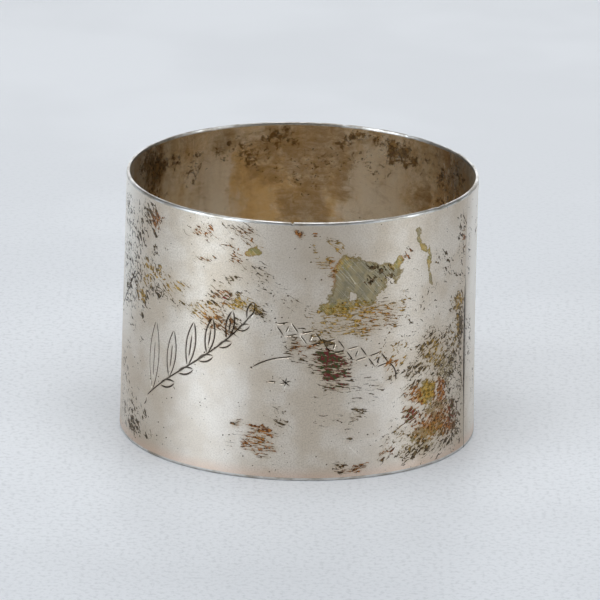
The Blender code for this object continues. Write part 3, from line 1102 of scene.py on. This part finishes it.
def flake_color(n, place, core, rusty, golden, wine):
    """The flakes' colour: nearly black edges, cores in brown, rust, ochre or wine and green."""
    tone = n.noise(place, 2.6, 3.0, 0.65)
    hue = n.noise(place, 2.0, 2.0, 0.6)
    edge = n.tones(tone, 0.35, 0.65, srgb(44, 33, 22), srgb(84, 66, 44))
    edge = n.tint(edge, srgb(124, 102, 56), golden, 0.3, 0.9, 0.6)
    dark = n.tones(tone, 0.38, 0.62, srgb(52, 41, 30), srgb(108, 90, 64))
    rust = n.tones(tone, 0.38, 0.62, srgb(96, 52, 28), srgb(184, 120, 62))
    gold = n.tones(tone, 0.38, 0.62, srgb(112, 88, 38), srgb(198, 160, 80))
    red_green = n.tones(hue, 0.45, 0.55, srgb(118, 40, 46), srgb(58, 74, 38))
    color = n.tint(dark, gold, n.plus(golden, hue), 0.75, 1.35)
    color = n.mix(n.times(n.step(n.plus(rusty, hue), 0.75, 1.35), 0.9), color, rust)
    color = n.tint(color, red_green, n.plus(wine, tone), 0.85, 1.35, 0.85)
    core = n.plus(core, n.step(tone, 0.45, 0.65, 0.0, 0.5), clamp=True)
    return n.mix(core, edge, color)


def silver_outside():
    n = new_material("tarnished_silver_outside")
    place = n.strip_place()
    streaks = n.layer("streaks")
    rusty, golden, wine, film = n.layer("tints")
    groove = n.add("ShaderNodeAttribute", attribute_name="groove").outputs["Fac"]
    cloud = n.noise(place, 0.16, 4.0, 0.6)
    grain = n.noise(place, 5.0, 3.0, 0.7)
    silver = bare_silver(n, place, streaks, cloud, grain)
    silver = olive_film(n, place, silver, film, golden, rusty)

    cover = pits(n, place, 0.9, 0.30, 1.0)
    core = 0.0
    for density, (angle, length, width, shift) in zip(streaks, FLAKE_GRAINS):
        flake, middle = flakes(n, place, density, angle, length, width, shift)
        cover = n.larger(cover, flake)
        core = n.larger(core, middle)
    color = flake_color(n, place, core, rusty, golden, wine)
    surface = n.mix(n.times(cover, 0.95), silver, color)
    dirt = n.step(groove, 0.03, 0.085)
    surface = n.mix(n.times(dirt, 0.85), surface, srgb(48, 38, 28))

    smear = n.grain(place, 20, 6.0, 1.2, 5.0, 3.0, 0.6)
    rough = n.plus(n.step(smear, 0.3, 0.7, 0.34, 0.44), n.times(cover, 0.12))
    rough = n.minus(rough, n.times(dirt, 0.12), clamp=True)
    hair = n.grain(place, 32, 8.0, 0.05, 9.0, 1.0, 0.5)
    height = n.plus(n.times(grain, 0.7), n.times(hair, 0.3))
    height = n.minus(height, n.times(cover, 0.7))
    return n.finish(surface, rough, 1.0, height, 0.010)


def broken(n, share, place, angle, length, width, shift, roughness=0.75, distortion=0.3):
    """A layer's share with its edges and its middle broken up by a noise."""
    speckle = n.grain(place, angle, length, width, shift, 6.0, roughness, distortion)
    wander = n.times(n.minus(speckle, 0.5), 1.7)
    return n.times(n.plus(share, wander), n.step(share, 0.02, 0.55), clamp=True)


def silver_inside():
    n = new_material("tarnished_silver_inside")
    place = n.strip_place()
    specks = n.layer("streaks")[0]
    gold, grey, dim, _ = n.layer("tints")
    cloud = n.grain(place, 90, 3.4, 1.6, 4.0, 4.0, 0.6)
    base = n.tones(cloud, 0.3, 0.7, srgb(236, 220, 194), srgb(252, 244, 230))
    base = n.tint(base, srgb(192, 166, 130), n.noise(place, 1.6, 5.0, 0.7), 0.40, 0.72, 0.38)
    patches = (
        (broken(n, gold, place, 0, 2.0, 0.9, 8.0), srgb(228, 190, 128)),
        (broken(n, grey, place, 90, 3.0, 1.1, 9.0, 0.7, 0.0), srgb(248, 242, 232)),
        (broken(n, dim, place, 0, 2.4, 1.1, 10.0), srgb(160, 130, 86)),
    )
    for share, color in patches:
        base = n.tint(base, color, share, 0.0, 1.15, 0.85)
    mottle = n.grain(place, 4, 2.6, 1.4, 13.0, 7.0, 0.75, 0.4)
    base = n.tint(base, srgb(180, 150, 106), mottle, 0.48, 0.72, 0.40)
    upright = n.grain(place, 90, 9.0, 0.9, 6.0, 3.0, 0.6)
    base = n.tint(base, srgb(180, 152, 112), upright, 0.50, 0.75, 0.16)
    stain = n.minus(n.noise(place, 0.8, 6.0, 0.75, 0.3), n.minus(0.70, n.times(specks, 0.30)))
    base = n.tint(base, srgb(116, 88, 50), stain, -0.02, 0.07, 0.85)
    cover, _ = flakes(n, place, specks, -10, 0.55, 0.38, 17.0)
    dark = n.tones(n.noise(place, 1.3, 2.0, 0.6), 0.35, 0.65, srgb(92, 74, 48), srgb(140, 108, 62))
    base = n.mix(n.times(cover, 0.8), base, dark)
    rough = n.plus(n.step(cloud, 0.3, 0.7, 0.14, 0.24), n.times(cover, 0.2), clamp=True)
    # the back wall is shinier than the sides
    from_back = n.math("ABSOLUTE", n.minus(n.parts(place)["X"], BACK_WALL))
    rough = n.plus(rough, n.step(from_back, 18, 32, 0.0, 0.16))
    return n.finish(base, rough, 1.0, n.noise(place, 8.0, 2.0, 0.6), 0.003)


def silver_rim():
    n = new_material("worn_silver_rim")
    place = n.strip_place()
    worn = n.grain(place, 0, 3.0, 1.0, 7.0, 4.0, 0.65)
    color = n.tones(worn, 0.4, 0.72, srgb(216, 214, 210), srgb(166, 157, 144))
    file_marks = n.grain(place, 0, 0.12, 1.0, 2.0, 2.0, 0.5)
    return n.finish(color, n.step(worn, 0.3, 0.7, 0.30, 0.42), 1.0, file_marks, 0.004)


def dark_solder():
    n = new_material("dark_solder")
    place = n.add("ShaderNodeTexCoord").outputs["Object"]
    tone = n.noise(n.mapped(place, (1000, 1000, 300)), 1.4, 3.0, dimensions="3D")
    dull = n.tones(tone, 0.35, 0.65, srgb(62, 51, 39), srgb(108, 91, 69))
    bright = n.tones(tone, 0.35, 0.65, srgb(150, 138, 122), srgb(196, 186, 172))
    color = n.tones(n.parts(place)["Z"], 20.5 * MM, 24.0 * MM, dull, bright)
    return n.finish(color, n.step(tone, 0.3, 0.7, 0.35, 0.55), 1.0, tone, 0.02)


# ---------------------------------------------------------------- floor, light and camera

ELEVATION = 17.76        # degrees, camera above the horizon
ROLL = 1.54              # degrees, clockwise lean of the ring in view
DISTANCE = 34 * RIM_OUTSIDE * MM
FRAME_SHARE = 0.29307    # rim radius as a share of the picture's width
SHIFT = (0.00143, -0.0044)     # of the view, as shares of the picture's width
SENSOR = 36.0            # mm
FLOOR_REACH = 3.0        # m from the ring to the floor's edges


def make_floor():
    """A broad pale floor with a fine mottled grain that fades out behind the ring."""
    mesh = bpy.data.meshes.new("floor")
    corners = [(x * FLOOR_REACH, y * FLOOR_REACH, 0) for x, y in ((-1, -1), (1, -1), (1, 1), (-1, 1))]
    mesh.from_pydata(corners, [], [(0, 1, 2, 3)])
    n = new_material("pale_floor")
    place = n.add("ShaderNodeTexCoord").outputs["Object"]
    flat = n.mapped(place, (1000, 1000, 1000))
    fine = n.noise(flat, 1.5, 3.0, 0.6)
    broad = n.noise(flat, 0.02, 3.0, 0.5)
    fade = n.step(n.parts(place)["Y"], 0.02, 0.16, 1.0, 0.0)
    pale = n.tones(broad, 0.35, 0.65, srgb(219, 222, 226), srgb(225, 228, 232))
    color = n.mix(n.times(n.step(fine, 0.45, 0.75, 0.0, 0.5), fade), pale, srgb(190, 194, 198))
    n.shader.inputs["Specular IOR Level"].default_value = 0.3
    mesh.materials.append(n.finish(color, 0.5, 0.0, n.times(fine, fade), 0.05))
    return put("floor", mesh)


def make_world():
    """A dim soft room, a little lighter overhead."""
    world = bpy.data.worlds.new("soft_room")
    bpy.context.scene.world = world
    n = Nodes(world)
    rise = n.parts(n.add("ShaderNodeTexCoord").outputs["Generated"])["Z"]
    background = n.tree.nodes["Background"].inputs
    n.feed(background["Color"], n.tones(rise, 0.0, 0.9, (0.06, 0.06, 0.062), (0.22, 0.225, 0.23)))
    background["Strength"].default_value = 1.0


def panel(name, bearing, distance, height, size, radiance, color):
    """An upright soft light that faces the ring. Its bearing is measured from the front, towards +X."""
    data = bpy.data.lights.new(name, "AREA")
    data.shape = "RECTANGLE"
    data.size, data.size_y = size
    data.energy = radiance * math.pi * size[0] * size[1]
    data.color = color
    light = put(name, data)
    turn = math.radians(bearing)
    light.location = (distance * math.sin(turn), -distance * math.cos(turn), height)
    light.rotation_euler = (Vector((0, 0, 0.1)) - light.location).to_track_quat("-Z", "Y").to_euler()
    return light


def make_lights():
    overhead = panel("overhead", 0, 0.20, 1.15, (0.96, 0.96), 3.55, (0.985, 0.99, 1.0))
    overhead.rotation_euler = (0, 0, 0)
    panel("left_panel", -56, 1.0, 0.17, (0.56, 0.36), 7.1, (0.80, 0.90, 1.0))
    panel("right_panel", 69, 1.0, 0.17, (0.42, 0.36), 4.1, (0.87, 0.94, 1.0))
    panel("back_panel", 180, 1.2, 0.30, (2.1, 0.6), 1.6, (0.94, 0.97, 1.0))


def make_camera():
    """The main view: a long lens, a little above the ring and slightly rolled."""
    data = bpy.data.cameras.new("view")
    data.sensor_width = SENSOR
    data.lens = SENSOR * FRAME_SHARE * DISTANCE / (RIM_OUTSIDE * MM)
    data.clip_start = 0.01
    data.shift_x, data.shift_y = SHIFT
    camera = put("view", data)
    rise = math.radians(ELEVATION)
    back = Vector((0, -math.cos(rise), math.sin(rise)))
    camera.location = Vector((0, 0, HEIGHT * MM / 2)) + back * DISTANCE
    camera.rotation_mode = "QUATERNION"
    roll = Quaternion((0, 0, 1), math.radians(ROLL))
    camera.rotation_quaternion = (-back).to_track_quat("-Z", "Y") @ roll
    bpy.context.scene.camera = camera


# ---------------------------------------------------------------- the scene

make_camera()
floor = make_floor()
make_world()
make_lights()

band = make_band([silver_outside(), silver_inside(), silver_rim()])
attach(band, "root")
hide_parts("band")

solder = make_solder(dark_solder())
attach(solder, "root")
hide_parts("seam_solder")

bpy.context.scene.view_settings.view_transform = "Standard"
